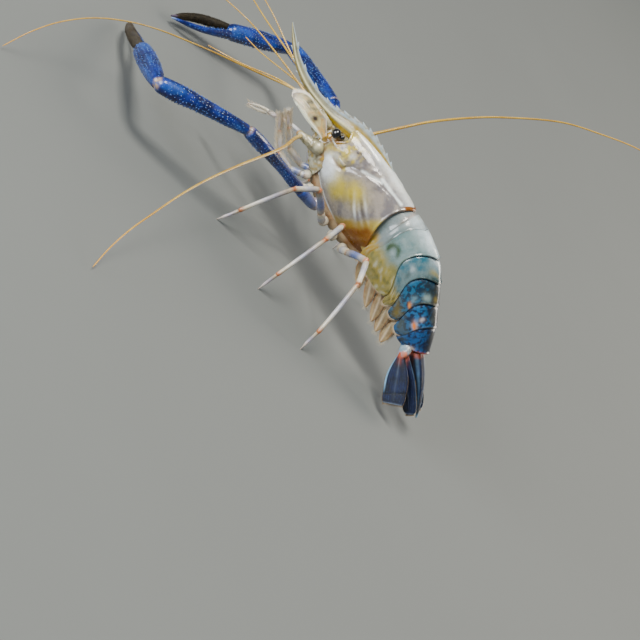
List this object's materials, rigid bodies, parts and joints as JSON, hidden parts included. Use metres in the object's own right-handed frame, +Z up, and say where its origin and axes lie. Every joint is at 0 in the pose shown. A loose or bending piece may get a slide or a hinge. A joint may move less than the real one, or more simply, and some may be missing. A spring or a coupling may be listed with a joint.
{
  "type": "giant river prawn",
  "caption": "Giant river prawn as a still life-size model, standing on its walking legs with long blue claws and whip-like feelers",
  "frame": {"origin": "on the floor, under the middle of the box round the whole animal with its feelers", "axes": "+X runs from the head to the tail, -Y is the animal's left, +Z is up"},
  "size_m": [0.2496, 0.3624, 0.1513],
  "materials": {
    "carapace_shell": "wet shell, pale grey and cream with faint mottling",
    "rostrum_shell": "wet shell, cream with pale teeth",
    "head_shell": "wet shell, cream and pinkish",
    "eye_black": "glossy black",
    "feeler_amber": "ringed amber",
    "scale_shell": "thin cream shell",
    "leg_shell": "cream to pink with orange joints",
    "claw_shell": "cobalt blue with fine spines",
    "finger_velvet": "dark brown velvet",
    "abdomen_shell": "wet shell, grey to teal and deep blue with dark bands",
    "pleopod_skin": "thin cream blades",
    "fan_shell": "slate blue blades"
  },
  "bodies": {
    "root": {"abdomen_1": "abdomen_shell", "abdomen_2": "abdomen_shell", "abdomen_3": "abdomen_shell", "abdomen_4": "abdomen_shell", "abdomen_5": "abdomen_shell", "abdomen_6": "abdomen_shell", "antenna_left": "feeler_amber", "antenna_right": "feeler_amber", "antennal_scale_left": "scale_shell", "antennal_scale_right": "scale_shell", "antennule_left": "feeler_amber", "antennule_right": "feeler_amber", "carapace": "carapace_shell", "eye_left": "eye_black", "eye_right": "eye_black", "first_leg_left": "leg_shell", "first_leg_right": "leg_shell", "great_claw_carpus_left": "claw_shell", "great_claw_carpus_right": "claw_shell", "great_claw_finger_left": "finger_velvet", "great_claw_finger_right": "finger_velvet", "great_claw_merus_left": "claw_shell", "great_claw_merus_right": "claw_shell", "great_claw_palm_left": "claw_shell", "great_claw_palm_right": "claw_shell", "head": "head_shell", "inner_uropod_left": "fan_shell", "inner_uropod_right": "fan_shell", "maxilliped_left": "leg_shell", "maxilliped_right": "leg_shell", "outer_uropod_left": "fan_shell", "outer_uropod_right": "fan_shell", "pleopod_1_left": "pleopod_skin", "pleopod_1_right": "pleopod_skin", "pleopod_2_left": "pleopod_skin", "pleopod_2_right": "pleopod_skin", "pleopod_3_left": "pleopod_skin", "pleopod_3_right": "pleopod_skin", "pleopod_4_left": "pleopod_skin", "pleopod_4_right": "pleopod_skin", "pleopod_5_left": "pleopod_skin", "pleopod_5_right": "pleopod_skin", "rostrum": "rostrum_shell", "telson": "fan_shell", "thorax": "head_shell", "walking_leg_3_left": "leg_shell", "walking_leg_3_right": "leg_shell", "walking_leg_4_left": "leg_shell", "walking_leg_4_right": "leg_shell", "walking_leg_5_left": "leg_shell", "walking_leg_5_right": "leg_shell"}
  },
  "joints": []
}
